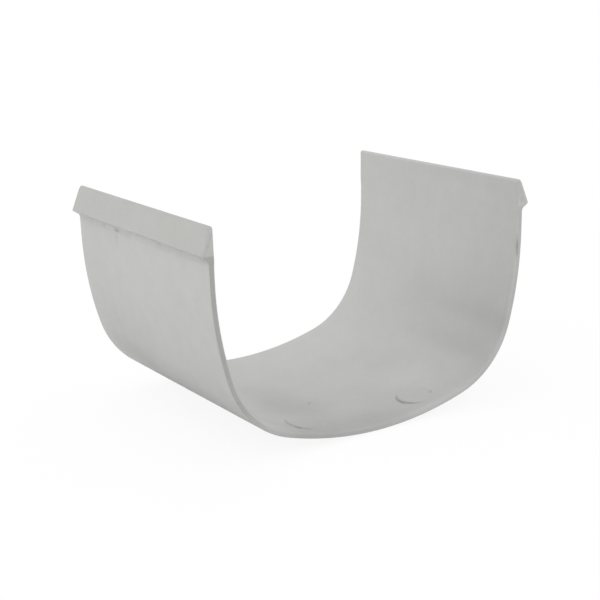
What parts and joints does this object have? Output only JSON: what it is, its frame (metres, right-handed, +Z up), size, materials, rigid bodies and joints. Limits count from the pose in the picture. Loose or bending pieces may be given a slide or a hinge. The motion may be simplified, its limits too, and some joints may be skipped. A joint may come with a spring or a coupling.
{
  "type": "gutter union",
  "caption": "Short open trough section with outward-folded lips that joins two lengths of deep rain gutter end to end.",
  "frame": {"origin": "Middle of the trough's underside, where it rests", "axes": "+X across the gutter, from lip to lip; +Y along the gutter's run, away from the end with the pin marks; +Z up, out of the open top"},
  "size_m": [0.1566, 0.112, 0.0935],
  "materials": {
    "grey_plastic": "plain light grey, between matt and satin"
  },
  "bodies": {
    "root": {"gutter_union": "grey_plastic"}
  },
  "joints": []
}
